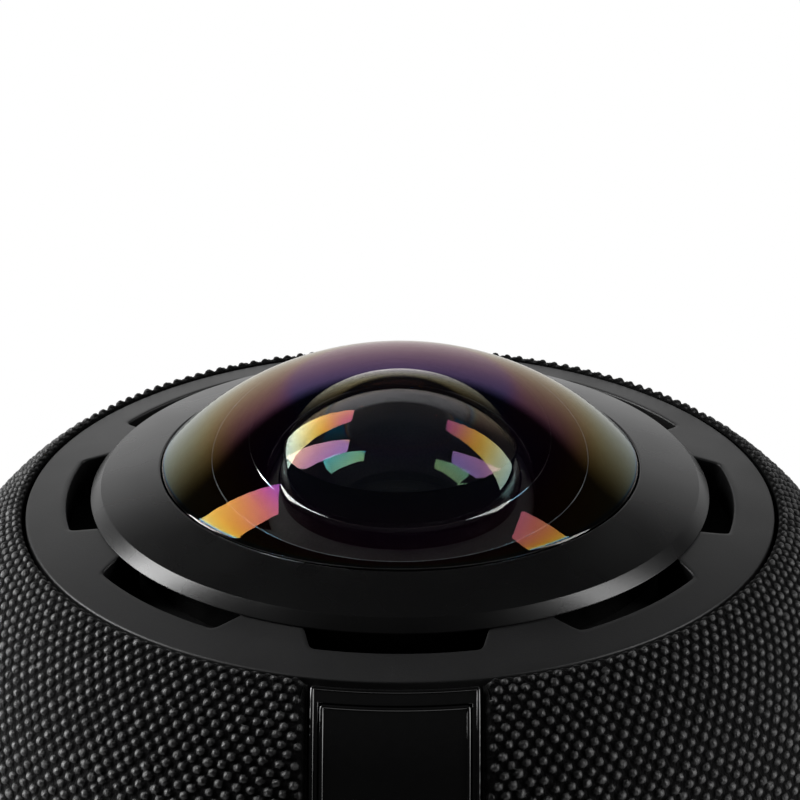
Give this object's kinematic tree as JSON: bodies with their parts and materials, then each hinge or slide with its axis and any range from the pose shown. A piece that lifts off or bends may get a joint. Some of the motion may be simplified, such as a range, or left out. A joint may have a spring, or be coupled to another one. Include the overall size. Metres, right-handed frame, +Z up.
{
  "type": "360 degree camera",
  "caption": "Table-top conference camera: fabric-wrapped pillar body, upward fisheye dome in a slotted top ring, front key strip, speaker inside, tripod thread below.",
  "frame": {"origin": "middle of the underside, on the table", "axes": "+Z up along the body and the lens axis, -Y towards the front strip"},
  "size_m": [0.1, 0.0995, 0.23],
  "materials": {
    "lens_glass": "coated, polished",
    "inner_glass": "polished",
    "filter_glass": "polished",
    "satin_black": "satin",
    "textured_black": "fine texture",
    "gloss_black": "gloss",
    "matte_black": "matte",
    "fabric": "coarse knit",
    "rubber": "matte",
    "board": "solder mask",
    "chip": "moulded",
    "sensor": "gloss",
    "tin": "plated",
    "steel": "black oxide",
    "magnet": "matte",
    "basket": "satin",
    "paper": "pressed paper",
    "copper": "enamelled wire",
    "spider_cloth": "resin-dipped cloth",
    "ribbon": "flexible film",
    "wire": "insulation",
    "aluminium": "anodised",
    "plate_metal": "powder coat",
    "brass": "machined",
    "light": "frosted clear",
    "mute_red": "satin",
    "key_black": "satin"
  },
  "bodies": {
    "housing": {"lens_front_element": "lens_glass", "lens_seal": "rubber", "lens_bezel": "satin_black", "lens_barrel": "matte_black", "lens_second_element": "inner_glass", "lens_spacer": "matte_black", "lens_third_element": "inner_glass", "lens_rear_element": "inner_glass", "infrared_filter": "filter_glass", "image_sensor": "sensor", "sensor_board": "board", "top_ring": "textured_black", "top_deck": "matte_black", "microphone_gaskets": "rubber", "microphones": "tin", "microphone_board": "board", "grille_shell": "matte_black", "fabric_cover": "fabric", "strip_frame": "gloss_black", "strip_panel": "gloss_black", "status_light": "light", "key_switches": "tin", "key_board": "board", "speaker_basket": "basket", "speaker_magnet": "magnet", "speaker_surround": "rubber", "speaker_spider": "spider_cloth", "chamber_baffle": "matte_black", "chamber_tub": "matte_black", "sound_diffuser": "matte_black", "main_board": "board", "processor": "chip", "heat_sink": "aluminium", "camera_ribbon": "ribbon", "microphone_ribbon": "ribbon", "key_ribbon": "ribbon", "link_ribbon": "ribbon", "speaker_lead": "wire", "base_housing": "satin_black", "base_plate": "plate_metal", "foot_ring": "rubber", "tripod_insert": "brass", "port_board": "board", "data_port": "tin", "power_jack": "matte_black", "power_switch": "tin", "case_screws": "steel", "board_screws": "steel"},
    "mute_key_body": {"mute_key": "mute_red"},
    "volume_up_key_body": {"volume_up_key": "key_black"},
    "volume_down_key_body": {"volume_down_key": "key_black"},
    "mode_key_body": {"mode_key": "key_black"},
    "power_button_body": {"power_button": "key_black"},
    "speaker_diaphragm": {"speaker_cone": "paper", "voice_coil": "copper"}
  },
  "joints": [
    {"name": "mute_key_press", "type": "slide", "parent": "housing", "child": "mute_key_body", "axis": [0, 1, 0], "range_m": [0, 0.0004], "stiffness_N_per_m": 3000},
    {"name": "volume_up_key_press", "type": "slide", "parent": "housing", "child": "volume_up_key_body", "axis": [0, 1, 0], "range_m": [0, 0.0004], "stiffness_N_per_m": 3000},
    {"name": "volume_down_key_press", "type": "slide", "parent": "housing", "child": "volume_down_key_body", "axis": [0, 1, 0], "range_m": [0, 0.0004], "stiffness_N_per_m": 3000},
    {"name": "mode_key_press", "type": "slide", "parent": "housing", "child": "mode_key_body", "axis": [0, 1, 0], "range_m": [0, 0.0004], "stiffness_N_per_m": 3000},
    {"name": "power_button_press", "type": "slide", "parent": "housing", "child": "power_button_body", "axis": [0, -1, 0], "range_m": [0, 0.0006], "stiffness_N_per_m": 3000},
    {"name": "diaphragm_travel", "type": "slide", "parent": "housing", "child": "speaker_diaphragm", "axis": [0, 0, 1], "range_m": [-0.002, 0.002], "stiffness_N_per_m": 2500, "deforming": ["speaker_surround", "speaker_spider"]}
  ]
}
